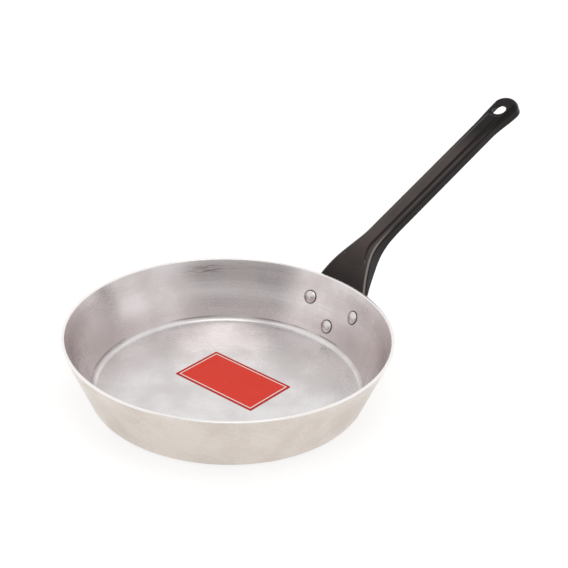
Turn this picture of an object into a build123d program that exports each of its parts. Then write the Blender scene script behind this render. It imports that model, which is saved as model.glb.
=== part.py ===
from build123d import *
from math import asin, atan2, cos, hypot, radians, sin, tan
import os

# Omelette pan: a spun aluminium pan with a folded steel handle held by three rivets.
# Origin at the centre of the base's underside, +Z up, handle along +X.
# Lengths are in millimetres, angles in degrees.

# Pan
rim_radius = 130.0
pan_height = 52.2
pan_gauge = 2.5
wall_lean = 22.5
inner_corner_radius = 4.5
rim_rounding = 0.8

# Handle, along its length
handle_gauge = 1.6
seat_clearance = 0.1
bend_radius = 56.0
grip_elevation = 25.5
grip_length = 191.5
tip_bulge = 8.8
waist_reach = 38.0

# Handle, across
grip_half_width = 10.1
flare_radius = 72.0
lobe_radius = 9.6
fold_radius = 2.8

# Skirts, folded down from the handle's top sheet
lip_run = 22.0
bend_skirt_depth = 12.4
bend_skirt_share = 0.72
skirt_ease_run = 30.0
skirt_depth = 8.9
tip_skirt_depth = 10.4
tip_flare = 2.4
tip_flare_run = 34.0
tip_crown_depth = 3.6
tip_crown_share = 0.75

# Raised panel along the grip
panel_half_width = 4.3
panel_height = 1.2
panel_foot_run = 2.2
panel_edge_radius = 1.0
panel_fade_radius = 47.0
panel_end_gap = 4.0

# Hang hole
hang_hole_radius = 6.3
hang_hole_setback = 8.2

# Rivets
rivet_spread = 49.2
upper_rivet_drop = 21.3
lower_rivet_drop = 39.8
shank_radius = 2.6
shank_clearance = 0.05
head_radius = 5.1
head_edge = 0.5
head_height = 2.2
tail_radius = 4.4
tail_height = 1.5
head_seat = 0.15

# Label
label_width = 48.5
label_length = 81.0
label_thickness = 0.15
label_corner_radius = 1.0
label_along = 8.5
label_across = 3.5
label_turn = 5.5

# Working sizes: how far cuts run past what they cut, how near counts as the same place, half the
# angle that the handle's side profiles are swept through, and where along an edge it is looked at
overrun = 3.0
touch = 0.01
wedge = 25.0
sample_shares = (0.0, 0.25, 0.5, 0.75, 1.0)

# Derived sizes
lean = radians(wall_lean)
wall_elevation = 90 - wall_lean
bend_angle = wall_elevation - grip_elevation
level_gauge = pan_gauge / cos(lean)
outer_corner_radius = inner_corner_radius + pan_gauge
base_radius = rim_radius - pan_height * tan(lean)
floor_radius = rim_radius - level_gauge - (pan_height - pan_gauge) * tan(lean)
flange_reach = lower_rivet_drop + lobe_radius + overrun
flare_start = grip_length - tip_flare_run
tip_reach = grip_length + tip_bulge + tip_flare + overrun
block_depth = max(tip_skirt_depth, bend_skirt_depth) + overrun
rivet_grip = pan_gauge + seat_clearance + handle_gauge


def radial_plane(angle):
    """Upright plane through the pan's axis, its sketch x pointing out at the angle and its y up."""
    out = Vector(cos(radians(angle)), sin(radians(angle)), 0)
    return Plane(origin=(0, 0, 0), x_dir=out, z_dir=out.cross(Vector(0, 0, 1)))


def rising_plane(origin, elevation):
    """Plane whose x rises outwards at the elevation, in the handle's own upright plane."""
    rise = radians(elevation)
    return Plane(origin=origin, x_dir=(cos(rise), 0, sin(rise)), z_dir=(-sin(rise), 0, cos(rise)))


def rivet_seat(drop, aside):
    """Plane on the wall's inner face, a drop below the rim and beside the handle, facing into the pan."""
    height = pan_height - drop * cos(lean)
    radius = rim_radius - level_gauge - drop * sin(lean)
    turn = asin(aside / radius)
    across = Vector(-sin(turn), cos(turn), 0)
    inwards = Vector(-cos(turn) * cos(lean), -sin(turn) * cos(lean), sin(lean))
    return Plane(origin=(radius * cos(turn), radius * sin(turn), height), x_dir=across, z_dir=inwards)


# The handle's top sheet follows the wall, bends over an arc and runs straight along the grip.
rim_point = Vector(rim_radius, 0, pan_height)
wall_plane = rising_plane(rim_point, wall_elevation).offset(-seat_clearance)
bend_centre = wall_plane.offset(-bend_radius).origin
grip_plane = rising_plane(bend_centre, grip_elevation).offset(bend_radius)
mean_plane = rising_plane(wall_plane.origin, (wall_elevation + grip_elevation) / 2)

rivet_seats = {
    "rivet_left": rivet_seat(upper_rivet_drop, rivet_spread / 2),
    "rivet_right": rivet_seat(upper_rivet_drop, -rivet_spread / 2),
    "rivet_lower": rivet_seat(lower_rivet_drop, 0),
}
drill_planes = [seat.offset(overrun) for seat in rivet_seats.values()]
drill_depth = overrun + rivet_grip + overrun


def on_path(plane, along, depth):
    """Point of the handle's side profile, along a plane and under the top sheet, as sketch x and y."""
    place = plane.origin + plane.x_dir * along - plane.z_dir * depth
    return (place.X, place.Z)


def on_bend(share, depth):
    """Point of the side profile at a share of the bend and a depth under the top sheet."""
    angle = radians(90 + wall_elevation - share * bend_angle)
    reach = bend_radius - depth
    return (bend_centre.X + reach * cos(angle), bend_centre.Z + reach * sin(angle))


def bend_arc(depth):
    """Arc of the bend at a depth under the top sheet."""
    return CenterArc((bend_centre.X, bend_centre.Z), bend_radius - depth, 90 + wall_elevation, -bend_angle)


def side_band(start, top, bottom):
    """Side profile between two depths, from a distance below the rim to past the tip."""
    with BuildSketch(radial_plane(-wedge)) as profile:
        with BuildLine():
            Line(on_path(wall_plane, -start, top), on_path(wall_plane, 0, top))
            bend_arc(top)
            Polyline(
                on_path(grip_plane, 0, top),
                on_path(grip_plane, tip_reach, top),
                on_path(grip_plane, tip_reach, bottom),
                on_path(grip_plane, 0, bottom),
            )
            bend_arc(bottom)
            Polyline(
                on_path(wall_plane, 0, bottom),
                on_path(wall_plane, -start, bottom),
                on_path(wall_plane, -start, top),
            )
        make_face()
    return profile.sketch


def flange_outline(inset):
    """Outline of flange and bend on the mean plane: a hull round the rivets, necked down to the grip."""
    half = grip_half_width - inset
    lobes = [mean_plane.to_local_coords(seat.origin) for seat in rivet_seats.values()]
    with BuildSketch(mean_plane) as outline:
        with BuildLine(mode=Mode.PRIVATE) as frame:
            for lobe in lobes:
                CenterArc((lobe.X, lobe.Y), lobe_radius - inset, 0, 360)
            Line((waist_reach, -half), (waist_reach, half))
        make_hull(frame.edges())
        with Locations((waist_reach, 0)):
            Rectangle(waist_reach, 2 * half, align=(Align.MIN, Align.CENTER))
        waist = outline.vertices().filter_by_position(Axis.X, waist_reach - touch, waist_reach + touch)
        fillet(waist, radius=flare_radius + inset)
    return outline.sketch


def grip_outline(inset, flare, height):
    """Outline of grip and rounded tip on a plane over or under the grip's top."""
    half = grip_half_width - inset
    wide = half + flare
    bulge = tip_bulge - inset + flare
    outwards = (1, 0)
    inwards = (-1, 0)
    with BuildSketch(grip_plane.offset(height)) as outline:
        with BuildLine():
            Line((0, half), (flare_start, half))
            Spline((flare_start, half), (grip_length, wide), tangents=(outwards, outwards))
            EllipticalCenterArc((grip_length, 0), bulge, wide, start_angle=-90, arc_size=180)
            Spline((grip_length, -wide), (flare_start, -half), tangents=(inwards, inwards))
            Polyline((flare_start, -half), (0, -half), (0, half))
        make_face()
    return outline.sketch


def side_walls(inset, flare):
    """Solid inside the handle's outline, tall enough to be cut to any side profile."""
    flange = flange_outline(inset)
    bottom = block_depth + overrun
    crown_flare = flare * tip_crown_share
    below_crown = (bottom - tip_crown_depth) / (tip_skirt_depth - tip_crown_depth)
    grip_top = grip_outline(inset, -crown_flare * overrun / tip_crown_depth, overrun)
    grip_crown = grip_outline(inset, crown_flare, -tip_crown_depth)
    grip_bottom = grip_outline(inset, crown_flare + (flare - crown_flare) * below_crown, -bottom)
    with BuildPart() as solid:
        extrude(flange, amount=flange_reach, both=True)
        loft([grip_top, grip_crown, grip_bottom], ruled=True)
    return solid.part


def depth_under_top(point):
    """Distance of a point under the handle's top sheet, measured in its own upright plane."""
    place = Vector(hypot(point.X, point.Y), 0, point.Z)
    wall = wall_plane.to_local_coords(place)
    grip = grip_plane.to_local_coords(place)
    if wall.X <= 0:
        return -wall.Z
    if grip.X >= 0:
        return -grip.Z
    return bend_radius - (place - bend_centre).length


def top_edges(edges):
    """Edges between the top sheet's upper face and the sides."""
    found = ShapeList()
    for edge in edges:
        samples = [edge.position_at(share) for share in sample_shares]
        level = all(abs(depth_under_top(sample)) < touch for sample in samples)
        across = edge.geom_type == GeomType.CIRCLE and hypot(edge.arc_center.X, edge.arc_center.Y) < touch
        if level and not across:
            found.append(edge)
    return found


def handle_block(start, inset, depth):
    """Solid inside the handle's outline, from a depth under the top sheet downwards."""
    profile = side_band(start, depth, block_depth + inset)
    sides = side_walls(inset, tip_flare)
    with BuildPart() as solid:
        add(sides)
        revolve(profile, axis=Axis.Z, revolution_arc=2 * wedge, mode=Mode.INTERSECT)
    return solid.part


def raised_panel(depth):
    """Raised panel along the grip: slanted sides, faded into the bend at one end, sloped at the other."""
    rise = panel_height - depth
    spread = (rise + tip_skirt_depth) * panel_foot_run / panel_height
    top_half = panel_half_width - depth * tan(atan2(panel_height, panel_foot_run) / 2)
    end = grip_length - hang_hole_setback - hang_hole_radius - panel_end_gap
    fade = panel_fade_radius - depth
    fade_centre = on_path(grip_plane, 0, fade - rise)
    flat_zone = side_walls(fold_radius, 0)
    with BuildSketch(Plane.XZ) as side:
        with BuildLine():
            curve = CenterArc(fade_centre, fade, 90 + grip_elevation, bend_angle)
            Polyline(
                curve @ 0,
                on_path(grip_plane, end, -rise),
                on_path(grip_plane, end + spread, tip_skirt_depth),
                fade_centre,
                curve @ 1,
            )
        make_face()
    with BuildSketch(Plane(origin=grip_plane.origin, x_dir=(0, 1, 0), z_dir=grip_plane.x_dir)) as across:
        with BuildLine():
            Polyline(
                (-top_half - spread, -tip_skirt_depth),
                (-top_half, rise),
                (top_half, rise),
                (top_half + spread, -tip_skirt_depth),
                close=True,
            )
        make_face()
        fillet(across.vertices().sort_by(Axis.Y)[2:], radius=panel_edge_radius)
    with BuildPart() as panel:
        extrude(side.sketch, amount=tip_reach, both=True)
        extrude(across.sketch, amount=tip_reach, both=True, mode=Mode.INTERSECT)
        add(flat_zone, mode=Mode.INTERSECT)
    return panel.part


def rivet(seat):
    """Rivet with a domed head in the pan, a shank through wall and flange, and a formed tail outside."""
    tail_level = -rivet_grip - head_seat
    with BuildPart() as body:
        with BuildSketch(Plane(origin=seat.origin, x_dir=seat.x_dir, z_dir=-seat.y_dir)):
            with BuildLine():
                head_top = (0, head_seat + head_height)
                head_shoulder = (head_radius, head_seat + head_edge)
                tail_foot = (tail_radius, tail_level)
                tail_end = (0, tail_level - tail_height)
                TangentArc(head_top, head_shoulder, tangent=(1, 0))
                Polyline(
                    head_shoulder,
                    (head_radius, head_seat),
                    (shank_radius, head_seat),
                    (shank_radius, tail_level),
                    tail_foot,
                )
                TangentArc(tail_end, tail_foot, tangent=(1, 0))
                Line(tail_end, head_top)
            make_face()
        revolve(axis=Axis(seat.origin, seat.z_dir))
    return body.part


# Pan body
with BuildPart() as pan_body:
    with BuildSketch(Plane.XZ) as pan_profile:
        with BuildLine():
            Polyline(
                (0, 0),
                (base_radius, 0),
                (rim_radius, pan_height),
                (rim_radius - level_gauge, pan_height),
                (floor_radius, pan_gauge),
                (0, pan_gauge),
                close=True,
            )
        make_face()
        fillet(pan_profile.vertices().group_by(Axis.Y)[-1], radius=rim_rounding)
        fillet(pan_profile.vertices().sort_by_distance((base_radius, 0))[0], radius=outer_corner_radius)
        fillet(pan_profile.vertices().sort_by_distance((floor_radius, pan_gauge))[0], radius=inner_corner_radius)
    revolve(axis=Axis.Z)
    with Locations(*drill_planes):
        Hole(shank_radius + shank_clearance, depth=drill_depth)
pan_body.part.label = "pan_body"

# Everything below the skirts' lower edge, swept round the pan's axis
with BuildSketch(radial_plane(-wedge)) as below_skirt:
    with BuildLine():
        up_wall = (wall_plane.x_dir.X, wall_plane.x_dir.Z)
        along_grip = (grip_plane.x_dir.X, grip_plane.x_dir.Z)
        lip_start = on_path(wall_plane, -lip_run, handle_gauge)
        deepest = on_bend(bend_skirt_share, bend_skirt_depth)
        grip_skirt_start = on_path(grip_plane, skirt_ease_run, skirt_depth)
        dip_start = on_path(grip_plane, flare_start, skirt_depth)
        dip_end = on_path(grip_plane, grip_length, tip_skirt_depth)
        flange_end = on_path(wall_plane, -flange_reach - overrun, handle_gauge)
        Line(flange_end, lip_start)
        Spline(lip_start, deepest, grip_skirt_start, tangents=(up_wall, along_grip))
        Line(grip_skirt_start, dip_start)
        Spline(dip_start, dip_end, tangents=(along_grip, along_grip))
        Polyline(
            dip_end,
            on_path(grip_plane, tip_reach + overrun, tip_skirt_depth),
            on_path(grip_plane, tip_reach + overrun, bend_radius),
            on_path(wall_plane, -flange_reach - overrun, bend_radius),
            flange_end,
        )
    make_face()

# Handle
outer = handle_block(flange_reach, 0, 0)
hollow = handle_block(lip_run + overrun, handle_gauge, handle_gauge)
panel_top = raised_panel(0)
panel_underside = raised_panel(handle_gauge)
hang_hole_place = grip_plane.offset(overrun).from_local_coords((grip_length - hang_hole_setback, 0, 0))
with BuildPart() as handle:
    add(outer)
    fillet(top_edges(handle.edges()), radius=fold_radius)
    add(panel_top)
    add(hollow, mode=Mode.SUBTRACT)
    add(panel_underside, mode=Mode.SUBTRACT)
    revolve(below_skirt.sketch, axis=Axis.Z, revolution_arc=2 * wedge, mode=Mode.SUBTRACT)
    with Locations(Plane(origin=hang_hole_place, x_dir=grip_plane.x_dir, z_dir=grip_plane.z_dir)):
        Hole(hang_hole_radius, depth=overrun + handle_gauge + overrun)
    with Locations(*drill_planes):
        Hole(shank_radius + shank_clearance, depth=drill_depth)
handle.part.label = "handle"

# Rivets
rivets = {}
for name, seat in rivet_seats.items():
    rivets[name] = rivet(seat)
    rivets[name].label = name

# Label
with BuildPart() as label:
    with BuildSketch(Plane.XY.offset(pan_gauge)):
        with Locations(Location((label_along, label_across), label_turn)):
            RectangleRounded(label_width, label_length, label_corner_radius)
    extrude(amount=label_thickness)
label.part.label = "label"

# Files
os.makedirs("parts", exist_ok=True)
export_step(pan_body.part, "parts/pan_body.step")
export_step(handle.part, "parts/handle.step")
export_step(label.part, "parts/label.step")
for name, body in rivets.items():
    export_step(body, f"parts/{name}.step")
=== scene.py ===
"""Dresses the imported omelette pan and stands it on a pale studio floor.

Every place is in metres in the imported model's own frame: the origin at the centre of the base's underside,
Z up, the handle along +X. A size in millimetres says so in its name.
"""

import logging
import math
from collections.abc import Iterable
from dataclasses import dataclass, field
from enum import Enum

import bmesh
import bpy
from mathutils import Matrix, Vector

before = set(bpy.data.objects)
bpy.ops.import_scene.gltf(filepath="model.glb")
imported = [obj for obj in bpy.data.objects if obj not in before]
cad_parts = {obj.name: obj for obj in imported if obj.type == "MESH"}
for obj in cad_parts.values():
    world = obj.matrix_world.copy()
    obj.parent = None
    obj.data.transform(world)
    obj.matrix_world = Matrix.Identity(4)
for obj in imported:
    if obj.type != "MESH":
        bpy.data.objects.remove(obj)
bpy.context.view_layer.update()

LOG = logging.getLogger("omelette_pan")
MM = 0.001

NodeTree = bpy.types.NodeTree
Socket = bpy.types.NodeSocket


class Slot(Enum):
    """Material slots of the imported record."""

    PAN = "pan_aluminium"
    HANDLE = "handle_steel"
    RIVET = "rivet_aluminium"
    LABEL = "label_film"


class Blend(Enum):
    """Ways in which one colour lies over another."""

    COVER = "MIX"
    TINT = "MULTIPLY"


def linear(hex_colour: str) -> tuple[float, float, float, float]:
    """Turn an sRGB hex colour into linear light.

    Args:
        hex_colour: Colour as "#RRGGBB".

    Returns:
        Red, green, blue and an alpha of 1, in linear light.
    """
    channels = [int(hex_colour[start : start + 2], 16) / 255 for start in (1, 3, 5)]
    # The sRGB curve is a straight line near black and a power above it.
    light = [c / 12.92 if c <= 0.04045 else ((c + 0.055) / 1.055) ** 2.4 for c in channels]
    return (*light, 1.0)


def add_node(
    tree: NodeTree,
    kind: str,
    inputs: dict[str | int, object] | None = None,
    **settings: object,
) -> bpy.types.Node:
    """Add a node to a tree with its settings and its inputs.

    Args:
        tree: Tree that takes the node.
        kind: Node type, without the "ShaderNode" in front.
        inputs: Input name or number to a value, or to the output that it is linked from.
        settings: Node properties to set before the inputs.

    Returns:
        The new node.
    """
    node = tree.nodes.new(f"ShaderNode{kind}")
    for name, value in settings.items():
        setattr(node, name, value)
    for key, value in (inputs or {}).items():
        if isinstance(value, Socket):
            tree.links.new(value, node.inputs[key])
        else:
            node.inputs[key].default_value = value
    return node


def overlap(tree: NodeTree, first: Socket, *others: Socket) -> Socket:
    """Keep what lies in every one of several masks.

    Args:
        tree: Tree that takes the nodes.
        first: One of the masks.
        others: The masks that it is multiplied with.

    Returns:
        The mask that they share.
    """
    shared = first
    for other in others:
        shared = add_node(tree, "Math", {0: shared, 1: other}, operation="MULTIPLY").outputs[0]
    return shared


def paint(tree: NodeTree, base: str, layers: Iterable[tuple[Socket, str, Blend]]) -> Socket:
    """Lay colours over a base colour, each through its mask.

    Args:
        tree: Tree that takes the nodes.
        base: Base colour as "#RRGGBB".
        layers: Mask, hex colour and blend of each layer, from the lowest up.

    Returns:
        The colour output.
    """
    colour: tuple[float, ...] | Socket = linear(base)
    for mask, layer, blend in layers:
        inputs = {0: mask, 6: colour, 7: linear(layer)}
        colour = add_node(tree, "Mix", inputs, data_type="RGBA", blend_type=blend.value).outputs[2]
    return colour


def new_material(name: str) -> tuple[bpy.types.Material, NodeTree]:
    """Start a node material with an empty tree.

    Args:
        name: Name of the real material.

    Returns:
        The material and its node tree.
    """
    material = bpy.data.materials.new(name)
    material.use_nodes = True
    material.node_tree.nodes.clear()
    return material, material.node_tree


def finish_surface(tree: NodeTree, shader: bpy.types.Node) -> None:
    """Link a shader to a new material output.

    Args:
        tree: Tree that holds the shader.
        shader: Shader node whose first output is the surface.
    """
    add_node(tree, "OutputMaterial", {"Surface": shader.outputs[0]})


class TurnedPlace:
    """A point's place on the spun sheet, as node outputs: its height, radius and direction from the axis."""

    mean_radius_mm = 115.0

    def __init__(self, tree: NodeTree) -> None:
        """Read the place from the object coordinates.

        Args:
            tree: Tree that takes the nodes.
        """
        self.tree = tree
        self.point: Socket = add_node(tree, "TexCoord").outputs["Object"]
        self.height: Socket = add_node(tree, "SeparateXYZ", {0: self.point}).outputs["Z"]
        inputs = {0: self.point, 1: (1.0, 1.0, 0.0)}
        flat = add_node(tree, "VectorMath", inputs, operation="MULTIPLY").outputs[0]
        self.radius: Socket = add_node(tree, "VectorMath", {0: flat}, operation="LENGTH").outputs["Value"]
        self.outwards: Socket = add_node(tree, "VectorMath", {0: flat}, operation="NORMALIZE").outputs[0]

    def turned_lines(self, pitch_mm: float, length_mm: float, detail: float = 1.0) -> Socket:
        """Draw the uneven lines that spinning leaves round the axis.

        Args:
            pitch_mm: Distance from line to line.
            length_mm: Length that a line keeps its strength for.
            detail: How many finer sets of lines lie over the first.

        Returns:
            The noise output, mostly between 0.3 and 0.7.
        """
        # Radius plus height grows without a break from the middle of the floor up to the rim.
        reach = add_node(self.tree, "Math", {0: self.radius, 1: self.height}, operation="ADD").outputs[0]
        lines_per_metre = 1 / (pitch_mm * MM)
        across = add_node(self.tree, "Math", {0: reach, 1: lines_per_metre}, operation="MULTIPLY").outputs[0]
        lift = add_node(self.tree, "CombineXYZ", {"Z": across}).outputs[0]
        turn = self.mean_radius_mm / length_mm
        stretched = add_node(
            self.tree,
            "VectorMath",
            {0: self.outwards, 1: (turn, turn, turn), 2: lift},
            operation="MULTIPLY_ADD",
        ).outputs[0]
        noise = {"Vector": stretched, "Scale": 1.0, "Detail": detail}
        return add_node(self.tree, "TexNoise", noise).outputs[0]

    def near_height(self, height_mm: float, reach_mm: float, strength: float = 1.0) -> Socket:
        """Mask a level band of the wall, fading over the outer half of its reach.

        Args:
            height_mm: Middle of the band.
            reach_mm: Distance from the middle at which the mask ends.
            strength: The mask's value along the middle.

        Returns:
            The mask output.
        """
        inputs = {0: self.height, 1: height_mm * MM}
        level = add_node(self.tree, "Math", inputs, operation="SUBTRACT").outputs[0]
        off = add_node(self.tree, "Math", {0: level}, operation="ABSOLUTE").outputs[0]
        reach = reach_mm * MM
        return add_node(self.tree, "MapRange", {0: off, 1: reach, 2: reach / 2, 4: strength}).outputs[0]

    def near_azimuth(self, azimuth_deg: float, half_angle_deg: float) -> Socket:
        """Mask a sector round the axis, fading towards its two sides.

        Args:
            azimuth_deg: Middle of the sector, counted from +X.
            half_angle_deg: Half of its width.

        Returns:
            The mask, 1 along the middle.
        """
        azimuth = math.radians(azimuth_deg)
        middle = (math.cos(azimuth), math.sin(azimuth), 0.0)
        facing = add_node(self.tree, "VectorMath", {0: self.outwards, 1: middle}, operation="DOT_PRODUCT")
        edge = math.cos(math.radians(half_angle_deg))
        return add_node(
            self.tree,
            "MapRange",
            {0: facing.outputs["Value"], 1: edge, 2: (1 + edge) / 2},
            interpolation_type="SMOOTHSTEP",
        ).outputs[0]


@dataclass(frozen=True)
class SpunAluminium:
    """Bare aluminium sheet spun over a former, left satin.

    The turned lines run round the axis, so each gleam is drawn out across them. The sheet is a soft warm
    grey, pinker on the inner wall and yellower outside, with cloudy patches and long ripples where the tool
    dwelt, a few short dark streaks of oxide under the rim, and painted shade in a ring round each rivet
    head. The top of the rim carries a painted highlight, the lightest colour. A pair of limits gives the
    noise values that a mark grows between.
    """

    name: str = "spun_aluminium"
    wall_colour: str = "#E6DFDF"
    floor_colour: str = "#E4E1E1"
    outer_colour: str = "#DCD3CB"
    cloud_tint: str = "#EFEDEC"
    oxide_colour: str = "#7C7370"
    # Painted shade in a ring round each rivet head, where the heads meet the wall.
    rivet_shade_colour: str = "#4A403D"
    # Painted highlight along the top of the rim.
    rim_highlight_colour: str = "#F6F3F1"
    roughness: float = 0.27
    roughness_limits: tuple[float, float] = (0.3, 0.7)
    roughness_swing: tuple[float, float] = (-0.05, 0.07)
    anisotropy: float = 0.6
    # A quarter turn lays the long side of each gleam across the lines.
    anisotropy_turn: float = 0.25
    # Real turned lines lie about 0.2 mm apart. These are drawn coarser, at about 1.6 pixels of the photo.
    line_pitch_mm: float = 1.3
    line_length_mm: float = 130.0
    line_depth_mm: float = 0.0013
    line_detail: float = 3.0
    line_limits: tuple[float, float] = (0.35, 0.65)
    line_roughness: float = 0.02
    ripple_pitch_mm: float = 9.0
    ripple_length_mm: float = 120.0
    ripple_depth_mm: float = 0.11
    # The roller's slow waves, not quite two to the wall's height, show as level light and dark bands.
    roller_wave_mm: float = 30.0
    roller_wave_start_mm: float = 12.0
    roller_wave_depth_mm: float = 0.24
    floor_relief_share: float = 0.08
    cloud_mm: float = 40.0
    cloud_detail: float = 3.0
    cloud_break: float = 0.55
    cloud_limits: tuple[float, float] = (0.35, 0.7)
    floor_height_mm: float = 4.0
    wall_height_mm: float = 8.0
    # The painted rim highlight covers the rim above this height.
    rim_highlight_height_mm: float = 51.4
    rim_highlight_fade_mm: float = 0.1
    outer_face_mm: float = 107.0
    outer_fade_mm: float = 0.3
    wall_lean_deg: float = 22.5
    streak_pitch_mm: float = 1.3
    streak_length_mm: float = 17.0
    streak_azimuth_deg: float = 54.0
    streak_half_angle_deg: float = 14.0
    streak_height_mm: float = 45.0
    streak_reach_mm: float = 4.5
    streak_limits: tuple[float, float] = (0.56, 0.68)
    streak_strength: float = 0.62
    corner_line_height_mm: float = 6.4
    corner_line_half_mm: float = 0.8
    corner_line_length_mm: float = 45.0
    corner_line_limits: tuple[float, float] = (0.45, 0.6)
    corner_line_strength: float = 0.55
    rivet_seats_mm: tuple[tuple[float, float, float], ...] = (
        (116.6, 24.6, 32.5),
        (116.6, -24.6, 32.5),
        (112.1, 0.0, 15.4),
    )
    # The ring of painted shade reaches this far from each rivet's centre.
    rivet_shade_reach_mm: float = 6.4
    rivet_shade_fade_mm: float = 0.8

    def _outer_face(self, place: TurnedPlace) -> Socket:
        """Mask the outer face, which leans as the wall does but lies a gauge further out.

        Args:
            place: The point's place on the sheet.

        Returns:
            The mask output.
        """
        lean = math.tan(math.radians(self.wall_lean_deg))
        inputs = {0: place.height, 1: -lean, 2: place.radius}
        foot = add_node(place.tree, "Math", inputs, operation="MULTIPLY_ADD").outputs[0]
        inner = (self.outer_face_mm - self.outer_fade_mm) * MM
        outer = (self.outer_face_mm + self.outer_fade_mm) * MM
        return add_node(place.tree, "MapRange", {0: foot, 1: inner, 2: outer}).outputs[0]

    def _rim_highlight(self, place: TurnedPlace) -> Socket:
        """Mask the top of the rim, which carries a painted highlight.

        Args:
            place: The point's place on the sheet.

        Returns:
            The mask output.
        """
        low = (self.rim_highlight_height_mm - self.rim_highlight_fade_mm) * MM
        high = (self.rim_highlight_height_mm + self.rim_highlight_fade_mm) * MM
        return add_node(place.tree, "MapRange", {0: place.height, 1: low, 2: high}).outputs[0]

    def _streaks(self, place: TurnedPlace) -> Socket:
        """Mask the short oxide streaks in their patch under the rim.

        Args:
            place: The point's place on the sheet.

        Returns:
            The mask output.
        """
        band = place.near_height(self.streak_height_mm, self.streak_reach_mm)
        lines = place.turned_lines(self.streak_pitch_mm, self.streak_length_mm)
        start, full = self.streak_limits
        inputs = {0: lines, 1: start, 2: full, 4: self.streak_strength}
        dark = add_node(place.tree, "MapRange", inputs).outputs[0]
        sector = place.near_azimuth(self.streak_azimuth_deg, self.streak_half_angle_deg)
        return overlap(place.tree, sector, band, dark)

    def _corner_line(self, place: TurnedPlace) -> Socket:
        """Mask the broken dark line that the tool left where the wall turns into the floor.

        Args:
            place: The point's place on the sheet.

        Returns:
            The mask output.
        """
        height, half = self.corner_line_height_mm, self.corner_line_half_mm
        line = place.near_height(height, half, self.corner_line_strength)
        breaks = place.turned_lines(self.corner_line_length_mm, self.corner_line_length_mm)
        start, full = self.corner_line_limits
        kept = add_node(place.tree, "MapRange", {0: breaks, 1: start, 2: full}).outputs[0]
        return overlap(place.tree, line, kept)

    def _rivet_shade(self, place: TurnedPlace) -> Socket:
        """Mask the narrow ring of painted shade round each rivet head.

        Args:
            place: The point's place on the sheet.

        Returns:
            The mask output.
        """
        tree = place.tree
        near: Socket | None = None
        for seat_mm in self.rivet_seats_mm:
            inputs = {0: place.point, 1: tuple(length * MM for length in seat_mm)}
            away = add_node(tree, "VectorMath", inputs, operation="DISTANCE").outputs["Value"]
            if near is None:
                near = away
            else:
                near = add_node(tree, "Math", {0: away, 1: near}, operation="MINIMUM").outputs[0]
        outer = self.rivet_shade_reach_mm * MM
        inner = outer - self.rivet_shade_fade_mm * MM
        return add_node(tree, "MapRange", {0: near, 1: outer, 2: inner}).outputs[0]

    def _colour(self, place: TurnedPlace, clouds: Socket) -> Socket:
        """Mix the sheet's colour from faces, clouds, oxide, a painted rim highlight and painted rivet shade.

        Args:
            place: The point's place on the sheet.
            clouds: Noise output of the cloudy patches.

        Returns:
            The colour output.
        """
        tree = place.tree
        floor, wall = self.floor_height_mm * MM, self.wall_height_mm * MM
        on_floor = add_node(tree, "MapRange", {0: place.height, 1: wall, 2: floor}).outputs[0]
        start, full = self.cloud_limits
        inputs = {0: clouds, 1: start, 2: full}
        cloudy = add_node(tree, "MapRange", inputs, interpolation_type="SMOOTHSTEP").outputs[0]
        layers = (
            (on_floor, self.floor_colour, Blend.COVER),
            (self._streaks(place), self.oxide_colour, Blend.COVER),
            (self._corner_line(place), self.oxide_colour, Blend.COVER),
            (self._outer_face(place), self.outer_colour, Blend.COVER),
            (cloudy, self.cloud_tint, Blend.TINT),
            # Painted highlight along the top of the rim.
            (self._rim_highlight(place), self.rim_highlight_colour, Blend.COVER),
            # Painted shade round the rivet heads.
            (self._rivet_shade(place), self.rivet_shade_colour, Blend.COVER),
        )
        return paint(tree, self.wall_colour, layers)

    def _roughness(self, place: TurnedPlace, clouds: Socket, lines: Socket) -> Socket:
        """Vary the roughness broadly with the clouds and finely with the turned lines.

        Args:
            place: The point's place on the sheet.
            clouds: Noise output of the cloudy patches.
            lines: Noise output of the turned lines.

        Returns:
            The roughness output.
        """
        smooth, rough = (self.roughness + swing for swing in self.roughness_swing)
        start, full = self.roughness_limits
        inputs = {0: clouds, 1: start, 2: full, 3: smooth, 4: rough}
        broad = add_node(place.tree, "MapRange", inputs).outputs[0]
        start, full = self.line_limits
        inputs = {0: lines, 1: start, 2: full, 3: -self.line_roughness, 4: self.line_roughness}
        fine = add_node(place.tree, "MapRange", inputs).outputs[0]
        return add_node(place.tree, "Math", {0: broad, 1: fine}, operation="ADD").outputs[0]

    def _relief(self, place: TurnedPlace, lines: Socket) -> Socket:
        """Raise the roller's waves, the ripples and the turned lines, the last two faint on the flat floor.

        Args:
            place: The point's place on the sheet.
            lines: Noise output of the turned lines.

        Returns:
            The normal output.
        """
        tree = place.tree
        floor, wall = self.floor_height_mm * MM, self.wall_height_mm * MM
        inputs = {0: place.height, 1: floor, 2: wall, 3: self.floor_relief_share}
        on_wall = add_node(tree, "MapRange", inputs).outputs[0]
        turns = 2 * math.pi / (self.roller_wave_mm * MM)
        start = -turns * self.roller_wave_start_mm * MM
        inputs = {0: place.height, 1: turns, 2: start}
        phase = add_node(tree, "Math", inputs, operation="MULTIPLY_ADD").outputs[0]
        waves = add_node(tree, "Math", {0: phase}, operation="SINE").outputs[0]
        ripples = place.turned_lines(self.ripple_pitch_mm, self.ripple_length_mm)
        inputs = {"Distance": self.roller_wave_depth_mm * MM, "Height": waves}
        normal = add_node(tree, "Bump", inputs).outputs[0]
        for depth_mm, height in ((self.ripple_depth_mm, ripples), (self.line_depth_mm, lines)):
            inputs = {"Strength": on_wall, "Distance": depth_mm * MM, "Height": height, "Normal": normal}
            normal = add_node(tree, "Bump", inputs).outputs[0]
        return normal

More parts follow.
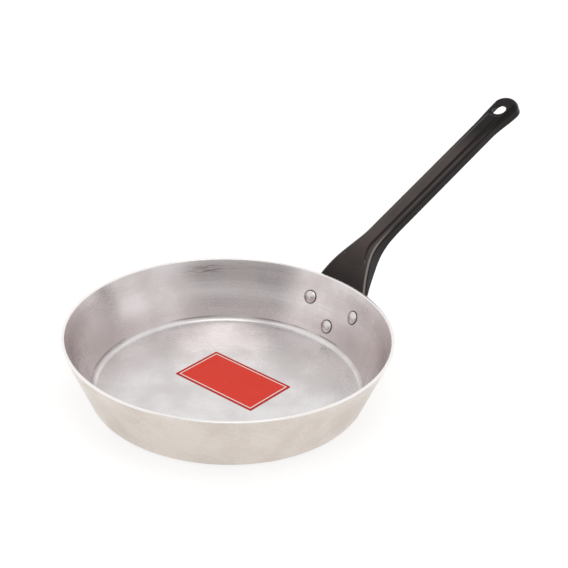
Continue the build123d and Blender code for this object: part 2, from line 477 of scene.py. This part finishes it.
    def material(self) -> bpy.types.Material:
        """Build the finish's material.

        Returns:
            The material.
        """
        material, tree = new_material(self.name)
        place = TurnedPlace(tree)
        noise = {
            "Vector": place.point,
            "Scale": 1 / (self.cloud_mm * MM),
            "Detail": self.cloud_detail,
            "Roughness": self.cloud_break,
        }
        clouds = add_node(tree, "TexNoise", noise).outputs[0]
        lines = place.turned_lines(self.line_pitch_mm, self.line_length_mm, self.line_detail)
        inputs = {
            "Base Color": self._colour(place, clouds),
            "Metallic": 1.0,
            "Roughness": self._roughness(place, clouds, lines),
            "Anisotropic": self.anisotropy,
            "Anisotropic Rotation": self.anisotropy_turn,
            "Tangent": add_node(tree, "Tangent", direction_type="RADIAL", axis="Z").outputs[0],
            "Normal": self._relief(place, lines),
        }
        finish_surface(tree, add_node(tree, "BsdfPrincipled", inputs))
        return material


@dataclass(frozen=True)
class HeadedAluminium:
    """Aluminium rivet wire, cold headed: brighter than the sheet, with the die's small dents."""

    name: str = "headed_aluminium"
    colour: str = "#DCD6D4"
    roughness: float = 0.27
    roughness_swing: tuple[float, float] = (-0.05, 0.1)
    dent_mm: float = 1.6
    dent_detail: float = 2.0
    dent_depth_mm: float = 0.05
    dent_limits: tuple[float, float] = (0.35, 0.65)

    def material(self) -> bpy.types.Material:
        """Build the finish's material.

        Returns:
            The material.
        """
        material, tree = new_material(self.name)
        point = add_node(tree, "TexCoord").outputs["Object"]
        noise = {"Vector": point, "Scale": 1 / (self.dent_mm * MM), "Detail": self.dent_detail}
        dents = add_node(tree, "TexNoise", noise).outputs[0]
        smooth, rough = (self.roughness + swing for swing in self.roughness_swing)
        start, full = self.dent_limits
        roughness = add_node(tree, "MapRange", {0: dents, 1: start, 2: full, 3: smooth, 4: rough}).outputs[0]
        relief = add_node(tree, "Bump", {"Distance": self.dent_depth_mm * MM, "Height": dents}).outputs[0]
        inputs = {
            "Base Color": linear(self.colour),
            "Metallic": 1.0,
            "Roughness": roughness,
            "Normal": relief,
        }
        finish_surface(tree, add_node(tree, "BsdfPrincipled", inputs))
        return material


@dataclass(frozen=True)
class StoveEnamel:
    """Black stove enamel sprayed on pressed steel: a warm black, semi-gloss, with a fine orange peel.

    Upper faces look lighter and browner where they face up: painted light, in uneven patches. It ends
    short of the tip, which is left darker as painted shade. The skirts stay deep black, the panel's sides
    carry painted shade, and the folds carry a painted highlight, strongest at the bend. A tilt is how far
    a face looks sideways: 0 on the flat top, 1 on an upright skirt. The first of two limits is where a
    mask is empty.
    """

    name: str = "black_stove_enamel"
    skirt_colour: str = "#140E0D"
    # Painted light: faces that look up are lighter and browner than the black skirts.
    lit_top_colour: str = "#4E4442"
    # Painted shade on the panel's sloping sides.
    groove_shade_colour: str = "#211A19"
    # Painted highlight along the folds.
    fold_highlight_colour: str = "#857C77"
    roughness: float = 0.28
    roughness_swing: tuple[float, float] = (-0.04, 0.08)
    specular_level: float = 0.15
    peel_mm: float = 1.4
    peel_detail: float = 2.0
    peel_depth_mm: float = 0.006
    dust_mm: float = 25.0
    dust_detail: float = 4.0
    dust_break: float = 0.6
    dust_limits: tuple[float, float] = (0.3, 0.7)
    # The painted light on upward faces is broken into patches by the dust noise.
    lit_top_least: float = 0.75
    lit_top_upward_limits: tuple[float, float] = (0.25, 0.9)
    lit_top_tilt_limits: tuple[float, float] = (0.55, 0.25)
    # The painted light ends short of the tip, leaving the tip darker as painted shade.
    lit_top_end_mm: float = 262.0
    lit_top_fade_mm: float = 34.0
    groove_tilt_limits: tuple[float, float] = (0.15, 0.35)
    groove_fade_mm: float = 0.3
    # Sides of the panel lie nearer to the handle's middle line than this, and the folds lie further out.
    fold_start_mm: float = 6.9
    foot_fold_start_mm: float = 11.0
    fold_tilt_rise: tuple[float, float] = (0.25, 0.4)
    fold_tilt_fall: tuple[float, float] = (0.85, 0.7)
    bend_foot_mm: float = 142.0
    bend_end_mm: float = 158.0
    grip_start_mm: float = 180.0
    # Strength of the painted fold highlight along the grip, against 1 at the bend.
    grip_highlight: float = 0.14
    fold_highlight_end_mm: float = 292.0
    fold_highlight_fade_mm: float = 20.0

    def _fold_highlights(self, tree: NodeTree, along: Socket, tilt: Socket, aside: Socket) -> Socket:
        """Mask the painted highlight on the folds, strong at the bend and weak along the grip.

        Args:
            tree: Tree that takes the nodes.
            along: Distance along the handle from the pan's axis.
            tilt: How far the surface faces sideways, 0 to 1.
            aside: Distance from the handle's middle plane.

        Returns:
            The mask output.
        """
        grip_start = self.grip_start_mm * MM
        inputs = {
            0: along,
            1: grip_start,
            2: self.bend_foot_mm * MM,
            3: self.fold_start_mm * MM,
            4: self.foot_fold_start_mm * MM,
        }
        start = add_node(tree, "MapRange", inputs).outputs[0]
        past_panel = add_node(tree, "Math", {0: aside, 1: start}, operation="GREATER_THAN").outputs[0]
        rise_start, rise_full = self.fold_tilt_rise
        fall_end, fall_start = self.fold_tilt_fall
        turned = add_node(tree, "MapRange", {0: tilt, 1: rise_start, 2: rise_full}).outputs[0]
        above_skirt = add_node(tree, "MapRange", {0: tilt, 1: fall_end, 2: fall_start}).outputs[0]
        inputs = {0: along, 1: grip_start, 2: self.bend_end_mm * MM, 3: self.grip_highlight, 4: 1.0}
        strength = add_node(tree, "MapRange", inputs).outputs[0]
        fold_highlight_end = self.fold_highlight_end_mm * MM
        inputs = {0: along, 1: fold_highlight_end + self.fold_highlight_fade_mm * MM, 2: fold_highlight_end}
        short_of_tip = add_node(tree, "MapRange", inputs).outputs[0]
        return overlap(tree, turned, above_skirt, past_panel, strength, short_of_tip)

    def _lit_top(self, tree: NodeTree, dust: Socket, upward: Socket, tilt: Socket, along: Socket) -> Socket:
        """Mask the painted light on the upper faces, patchy, and ending short of the tip to leave painted
        shade there.

        Args:
            tree: Tree that takes the nodes.
            dust: Noise output that breaks up the painted light on the tops.
            upward: How far the surface faces up, -1 to 1.
            tilt: How far the surface faces sideways, 0 to 1.
            along: Distance along the handle from the pan's axis.

        Returns:
            The mask output.
        """
        lit_top_end = self.lit_top_end_mm * MM
        ramps = (
            (upward, *self.lit_top_upward_limits, 0.0),
            (tilt, *self.lit_top_tilt_limits, 0.0),
            (dust, *self.dust_limits, self.lit_top_least),
            (along, lit_top_end + self.lit_top_fade_mm * MM, lit_top_end, 0.0),
        )
        masks = [
            add_node(tree, "MapRange", {0: value, 1: start, 2: full, 3: least}).outputs[0]
            for value, start, full, least in ramps
        ]
        return overlap(tree, *masks)

    def _colour(self, tree: NodeTree, dust: Socket) -> Socket:
        """Mix the enamel: painted light on tops, painted shade on panel sides, painted highlights on folds.

        Args:
            tree: Tree that takes the nodes.
            dust: Noise output that breaks up the painted light on the tops.

        Returns:
            The colour output.
        """
        coordinates = add_node(tree, "TexCoord").outputs
        normal = add_node(tree, "SeparateXYZ", {0: coordinates["Normal"]}).outputs
        point = add_node(tree, "SeparateXYZ", {0: coordinates["Object"]}).outputs
        tilt = add_node(tree, "Math", {0: normal["Y"]}, operation="ABSOLUTE").outputs[0]
        aside = add_node(tree, "Math", {0: point["Y"]}, operation="ABSOLUTE").outputs[0]
        start, full = self.groove_tilt_limits
        slope = add_node(tree, "MapRange", {0: tilt, 1: start, 2: full}).outputs[0]
        edge = self.fold_start_mm * MM
        inner = add_node(tree, "MapRange", {0: aside, 1: edge, 2: edge - self.groove_fade_mm * MM}).outputs[0]
        layers = (
            # Painted light on the upward faces.
            (self._lit_top(tree, dust, normal["Z"], tilt, point["X"]), self.lit_top_colour, Blend.COVER),
            # Painted shade on the panel's sloping sides.
            (overlap(tree, slope, inner), self.groove_shade_colour, Blend.COVER),
            # Painted highlight along the folds.
            (self._fold_highlights(tree, point["X"], tilt, aside), self.fold_highlight_colour, Blend.COVER),
        )
        return paint(tree, self.skirt_colour, layers)

    def material(self) -> bpy.types.Material:
        """Build the finish's material.

        Returns:
            The material.
        """
        material, tree = new_material(self.name)
        point = add_node(tree, "TexCoord").outputs["Object"]
        noise = {"Vector": point, "Scale": 1 / (self.peel_mm * MM), "Detail": self.peel_detail}
        peel = add_node(tree, "TexNoise", noise).outputs[0]
        noise = {
            "Vector": point,
            "Scale": 1 / (self.dust_mm * MM),
            "Detail": self.dust_detail,
            "Roughness": self.dust_break,
        }
        dust = add_node(tree, "TexNoise", noise).outputs[0]
        smooth, rough = (self.roughness + swing for swing in self.roughness_swing)
        start, full = self.dust_limits
        roughness = add_node(tree, "MapRange", {0: dust, 1: start, 2: full, 3: smooth, 4: rough}).outputs[0]
        relief = add_node(tree, "Bump", {"Distance": self.peel_depth_mm * MM, "Height": peel}).outputs[0]
        inputs = {
            "Base Color": self._colour(tree, dust),
            "Roughness": roughness,
            "Specular IOR Level": self.specular_level,
            "Normal": relief,
        }
        finish_surface(tree, add_node(tree, "BsdfPrincipled", inputs))
        return material


@dataclass(frozen=True)
class PrintedFilm:
    """Self-adhesive vinyl film printed in one red, with a darker border outside a thin white keyline."""

    width_mm: float
    length_mm: float
    centre_mm: tuple[float, float]
    turn_deg: float
    name: str = "printed_vinyl_film"
    colour: str = "#DB3726"
    border_colour: str = "#BA2A22"
    keyline_colour: str = "#EFE2DC"
    keyline_inset_mm: float = 2.7
    keyline_width_mm: float = 0.95
    keyline_softness: float = 0.1
    roughness: float = 0.3
    roughness_swing: tuple[float, float] = (-0.04, 0.06)
    specular_level: float = 0.12
    wrinkle_mm: float = 14.0
    wrinkle_detail: float = 2.0
    wrinkle_depth_mm: float = 0.03
    wrinkle_limits: tuple[float, float] = (0.3, 0.7)

    def _from_keyline(self, tree: NodeTree, point: Socket) -> Socket:
        """Measure how far a point lies outside the keyline, a thin rectangle inside the film's edge.

        Args:
            tree: Tree that takes the nodes.
            point: Object coordinates, in metres.

        Returns:
            The distance in metres, below 0 inside the rectangle.
        """
        centre = (self.centre_mm[0] * MM, self.centre_mm[1] * MM, 0.0)
        half = [(side / 2 - self.keyline_inset_mm) * MM for side in (self.width_mm, self.length_mm)]
        local = add_node(tree, "VectorMath", {0: point, 1: centre}, operation="SUBTRACT").outputs[0]
        inputs = {"Vector": local, "Angle": math.radians(-self.turn_deg)}
        flat = add_node(tree, "VectorRotate", inputs, rotation_type="Z_AXIS").outputs[0]
        size = add_node(tree, "VectorMath", {0: flat}, operation="ABSOLUTE").outputs[0]
        past = add_node(tree, "VectorMath", {0: size, 1: (*half, 0.0)}, operation="SUBTRACT").outputs[0]
        sides = add_node(tree, "SeparateXYZ", {0: past}).outputs
        return add_node(tree, "Math", {0: sides["X"], 1: sides["Y"]}, operation="MAXIMUM").outputs[0]

    def _colour(self, tree: NodeTree, point: Socket) -> Socket:
        """Mix the ink's colour from its field, its border and its keyline.

        Args:
            tree: Tree that takes the nodes.
            point: Object coordinates, in metres.

        Returns:
            The colour output.
        """
        outside = self._from_keyline(tree, point)
        away = add_node(tree, "Math", {0: outside}, operation="ABSOLUTE").outputs[0]
        edge = self.keyline_width_mm * MM / 2
        border = add_node(tree, "MapRange", {0: outside, 1: -edge, 2: edge}).outputs[0]
        end, start = edge * (1 + self.keyline_softness), edge * (1 - self.keyline_softness)
        keyline = add_node(tree, "MapRange", {0: away, 1: end, 2: start}).outputs[0]
        layers = (
            (border, self.border_colour, Blend.COVER),
            (keyline, self.keyline_colour, Blend.COVER),
        )
        return paint(tree, self.colour, layers)

    def material(self) -> bpy.types.Material:
        """Build the finish's material.

        Returns:
            The material.
        """
        material, tree = new_material(self.name)
        point = add_node(tree, "TexCoord").outputs["Object"]
        noise = {"Vector": point, "Scale": 1 / (self.wrinkle_mm * MM), "Detail": self.wrinkle_detail}
        wrinkles = add_node(tree, "TexNoise", noise).outputs[0]
        smooth, rough = (self.roughness + swing for swing in self.roughness_swing)
        start, full = self.wrinkle_limits
        inputs = {0: wrinkles, 1: start, 2: full, 3: smooth, 4: rough}
        roughness = add_node(tree, "MapRange", inputs).outputs[0]
        inputs = {"Distance": self.wrinkle_depth_mm * MM, "Height": wrinkles}
        relief = add_node(tree, "Bump", inputs).outputs[0]
        inputs = {
            "Base Color": self._colour(tree, point),
            "Roughness": roughness,
            "Specular IOR Level": self.specular_level,
            "Normal": relief,
        }
        finish_surface(tree, add_node(tree, "BsdfPrincipled", inputs))
        return material


@dataclass(frozen=True)
class FloorPaper:
    """White seamless paper that camera and metal see as white, darkened only by the object's shadow."""

    name: str = "white_seamless_paper"
    colour: str = "#E4E3E1"
    shown_white: float = 0.66
    shown_paper: str = "#B4B4B3"

    def material(self) -> bpy.types.Material:
        """Build the finish's material.

        Returns:
            The material.
        """
        material, tree = new_material(self.name)
        rays = add_node(tree, "LightPath").outputs
        shown = rays["Is Camera Ray"]
        for kind in ("Is Glossy Ray", "Is Transmission Ray"):
            shown = add_node(tree, "Math", {0: shown, 1: rays[kind]}, operation="MAXIMUM").outputs[0]
        lit = add_node(tree, "BsdfDiffuse", {"Color": linear(self.colour)}).outputs[0]
        shade = add_node(tree, "BsdfDiffuse", {"Color": linear(self.shown_paper)}).outputs[0]
        glow = add_node(tree, "Emission", {"Strength": self.shown_white}).outputs[0]
        white = add_node(tree, "AddShader", {0: shade, 1: glow}).outputs[0]
        finish_surface(tree, add_node(tree, "MixShader", {0: shown, 1: lit, 2: white}))
        return material


def dress(node: str, material: bpy.types.Material, slot: Slot) -> None:
    """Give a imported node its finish.

    Args:
        node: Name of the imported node.
        material: Finish that takes the place of the plain one.
        slot: Record slot that the finish stands for.
    """
    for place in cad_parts[node].material_slots:
        place.material = material
    LOG.info("%s: %s for slot %s", node, material.name, slot.value)


@dataclass
class PanBody:
    """The spun pan: floor, rounded corner, leaning wall and trimmed rim."""

    finish: SpunAluminium = field(default_factory=SpunAluminium)

    def build(self) -> None:
        """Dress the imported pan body."""
        dress("pan_body", self.finish.material(), Slot.PAN)


@dataclass
class Handle:
    """The folded steel handle, from its flange on the wall to the rounded tip."""

    finish: StoveEnamel = field(default_factory=StoveEnamel)

    def build(self) -> None:
        """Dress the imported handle."""
        dress("handle", self.finish.material(), Slot.HANDLE)


@dataclass
class Rivets:
    """The three rivets that hold the handle."""

    names: tuple[str, ...] = ("rivet_left", "rivet_right", "rivet_lower")
    finish: HeadedAluminium = field(default_factory=HeadedAluminium)

    def build(self) -> None:
        """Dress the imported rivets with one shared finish."""
        material = self.finish.material()
        for name in self.names:
            dress(name, material, Slot.RIVET)


@dataclass
class Label:
    """The printed label on the pan's floor."""

    width_mm: float = 48.5
    length_mm: float = 81.0
    centre_mm: tuple[float, float] = (8.5, 3.5)
    turn_deg: float = 5.5

    def build(self) -> None:
        """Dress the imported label."""
        finish = PrintedFilm(self.width_mm, self.length_mm, self.centre_mm, self.turn_deg)
        dress("label", finish.material(), Slot.LABEL)


@dataclass
class Studio:
    """A pale floor, one large soft box overhead, and a white room that is dimmer round the soft box.

    The room is also a little dimmer on one side, and much dimmer low down behind the camera.
    """

    floor_half_m: float = 6.0
    room_level: float = 1.0
    side_azimuth_deg: float = 272.0
    side_edges_deg: tuple[float, float] = (34.0, 8.0)
    side_level: float = 0.76
    dim_azimuth_deg: float = 219.0
    dim_edges_deg: tuple[float, float] = (52.0, 32.0)
    dim_heights_deg: tuple[float, float] = (38.0, 12.0)
    dim_level: float = 0.22
    overhead_heights_deg: tuple[float, float] = (62.0, 74.0)
    overhead_level: float = 0.4
    shown_level: float = 1.0
    box_side_m: float = 0.8
    box_place: tuple[float, float, float] = (-0.1, -0.22, 1.3)
    box_power_w: float = 2.4

    def _floor(self) -> None:
        """Lay the floor as one flat face under the pan."""
        mesh = bpy.data.meshes.new("studio_floor")
        shape = bmesh.new()
        bmesh.ops.create_grid(shape, x_segments=1, y_segments=1, size=self.floor_half_m)
        shape.to_mesh(mesh)
        shape.free()
        floor = bpy.data.objects.new("studio_floor", mesh)
        bpy.context.scene.collection.objects.link(floor)
        mesh.materials.append(FloorPaper().material())

    def _soft_box(self) -> None:
        """Hang the square soft box so that it faces the pan."""
        lamp = bpy.data.lights.new("top_soft_box", "AREA")
        lamp.shape = "SQUARE"
        lamp.size = self.box_side_m
        lamp.energy = self.box_power_w
        holder = bpy.data.objects.new("top_soft_box", lamp)
        holder.location = self.box_place
        holder.rotation_euler = (-Vector(self.box_place)).to_track_quat("-Z", "Y").to_euler()
        bpy.context.scene.collection.objects.link(holder)

    @staticmethod
    def _side_of_room(tree: NodeTree, azimuth_deg: float, edges_deg: tuple[float, float]) -> Socket:
        """Mask one side of the room round an azimuth.

        Args:
            tree: Tree that takes the nodes.
            azimuth_deg: Middle of that side, counted from +X.
            edges_deg: Angles from the middle at which the mask starts and is full.

        Returns:
            The mask output.
        """
        azimuth = math.radians(azimuth_deg)
        middle = (math.cos(azimuth), math.sin(azimuth), 0.0)
        direction = add_node(tree, "TexCoord").outputs["Generated"]
        inputs = {0: direction, 1: middle}
        facing = add_node(tree, "VectorMath", inputs, operation="DOT_PRODUCT").outputs["Value"]
        start, full = (math.cos(math.radians(edge)) for edge in edges_deg)
        inputs = {0: facing, 1: start, 2: full}
        return add_node(tree, "MapRange", inputs, interpolation_type="SMOOTHSTEP").outputs[0]

    @staticmethod
    def _height_of_room(tree: NodeTree, heights_deg: tuple[float, float]) -> Socket:
        """Mask the room above or below an angle over the horizon.

        Args:
            tree: Tree that takes the nodes.
            heights_deg: Angles over the horizon at which the mask starts and is full.

        Returns:
            The mask output.
        """
        direction = add_node(tree, "TexCoord").outputs["Generated"]
        height = add_node(tree, "SeparateXYZ", {0: direction}).outputs["Z"]
        start, full = (math.sin(math.radians(angle)) for angle in heights_deg)
        inputs = {0: height, 1: start, 2: full}
        return add_node(tree, "MapRange", inputs, interpolation_type="SMOOTHSTEP").outputs[0]

    def _room(self) -> None:
        """Wrap the scene in the white room, which the camera itself sees as plain white."""
        world = bpy.data.worlds.new("white_room")
        world.use_nodes = True
        tree = world.node_tree
        tree.nodes.clear()
        beside = self._side_of_room(tree, self.side_azimuth_deg, self.side_edges_deg)
        behind = self._side_of_room(tree, self.dim_azimuth_deg, self.dim_edges_deg)
        low = self._height_of_room(tree, self.dim_heights_deg)
        overhead = self._height_of_room(tree, self.overhead_heights_deg)
        layers = (
            (beside, self.side_level),
            (overlap(tree, behind, low), self.dim_level),
            (overhead, self.overhead_level),
            (add_node(tree, "LightPath").outputs["Is Camera Ray"], self.shown_level),
        )
        level: float | Socket = self.room_level
        for mask, other in layers:
            level = add_node(tree, "Mix", {0: mask, 2: level, 3: other}, data_type="FLOAT").outputs[0]
        background = add_node(tree, "Background", {"Color": (1.0, 1.0, 1.0, 1.0), "Strength": level})
        add_node(tree, "OutputWorld", {"Surface": background.outputs[0]})
        bpy.context.scene.world = world

    def build(self) -> None:
        """Set up floor, soft box and room."""
        self._floor()
        self._soft_box()
        self._room()
        LOG.info("studio: floor, soft box and white room")


@dataclass
class PhotoCamera:
    """The viewpoint, fitted to the rim, the floor's edge and the base's edge."""

    place: tuple[float, float, float] = (-0.6337, -0.6881, 0.5800)
    heading_deg: float = -45.2
    tilt_deg: float = 62.6
    roll_deg: float = 2.14
    focal_px: float = 1374.0
    frame_px: float = 568.0
    sensor_mm: float = 36.0

    def build(self) -> None:
        """Create the camera and make it the scene's own."""
        lens = bpy.data.cameras.new("photo_camera")
        lens.sensor_width = self.sensor_mm
        lens.lens = self.focal_px / self.frame_px * self.sensor_mm
        camera = bpy.data.objects.new("photo_camera", lens)
        matrix = Matrix.Translation(self.place)
        for angle_deg, axis in ((self.heading_deg, "Z"), (self.tilt_deg, "X"), (self.roll_deg, "Z")):
            matrix = matrix @ Matrix.Rotation(math.radians(angle_deg), 4, axis)
        camera.matrix_world = matrix
        bpy.context.scene.collection.objects.link(camera)
        bpy.context.scene.camera = camera
        LOG.info("camera: lens %.1f mm", lens.lens)


def main() -> None:
    """Dress the pan's pieces, set up the studio and report each step."""
    logging.basicConfig(level=logging.INFO, format="%(message)s")
    bpy.context.scene.view_settings.view_transform = "Standard"
    for part in (PanBody(), Handle(), Rivets(), Label(), Studio(), PhotoCamera()):
        part.build()


if __name__ == "__main__":
    main()
